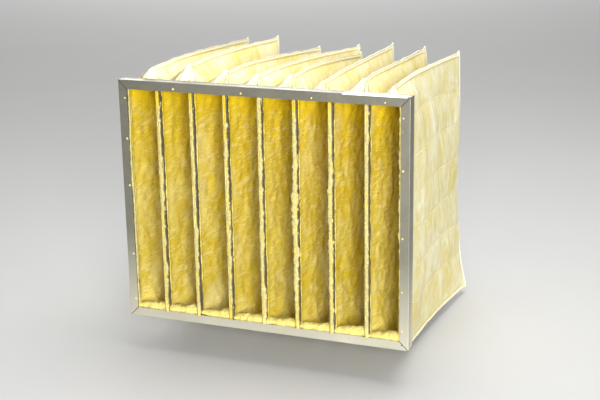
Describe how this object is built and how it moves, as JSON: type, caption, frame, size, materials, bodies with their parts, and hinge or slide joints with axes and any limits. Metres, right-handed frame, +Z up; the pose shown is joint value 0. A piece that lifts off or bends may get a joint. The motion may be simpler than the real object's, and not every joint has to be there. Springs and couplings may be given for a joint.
{
  "type": "bag air filter",
  "caption": "Bag air filter with a folded steel header and sewn, stitched filter pockets that open at the face and taper to the rear.",
  "frame": {"origin": "the middle of the header's bottom face", "axes": "+X across the face to the right as the air meets it, +Y with the air from the face to the pockets' rear, +Z up"},
  "size_m": [0.592, 0.534, 0.5804],
  "materials": {
    "galvanised_rail": "satin galvanised sheet",
    "inner_steel": "dull galvanised strip",
    "filter_media": "fluffy fibre with a thin pale scrim outside"
  },
  "bodies": {
    "root": {"header_rail_bottom": "galvanised_rail", "header_rail_top": "galvanised_rail", "header_rail_left": "galvanised_rail", "header_rail_right": "galvanised_rail", "corner_key_bottom_left": "inner_steel", "corner_key_bottom_right": "inner_steel", "corner_key_top_left": "inner_steel", "corner_key_top_right": "inner_steel", "packing_channel_bottom": "inner_steel", "packing_channel_top": "inner_steel", "packing_channel_left": "inner_steel", "packing_channel_right": "inner_steel", "retainer_strip_1_left": "inner_steel", "retainer_strip_1_right": "inner_steel", "retainer_strip_2_left": "inner_steel", "retainer_strip_2_right": "inner_steel", "retainer_strip_3_left": "inner_steel", "retainer_strip_3_right": "inner_steel", "retainer_strip_4_left": "inner_steel", "retainer_strip_4_right": "inner_steel", "retainer_strip_5_left": "inner_steel", "retainer_strip_5_right": "inner_steel", "retainer_strip_6_left": "inner_steel", "retainer_strip_6_right": "inner_steel", "retainer_strip_7_left": "inner_steel", "retainer_strip_7_right": "inner_steel", "retainer_strip_8_left": "inner_steel", "retainer_strip_8_right": "inner_steel", "pocket_1": "filter_media", "pocket_2": "filter_media", "pocket_3": "filter_media", "pocket_4": "filter_media", "pocket_5": "filter_media", "pocket_6": "filter_media", "pocket_7": "filter_media", "pocket_8": "filter_media"}
  },
  "joints": []
}
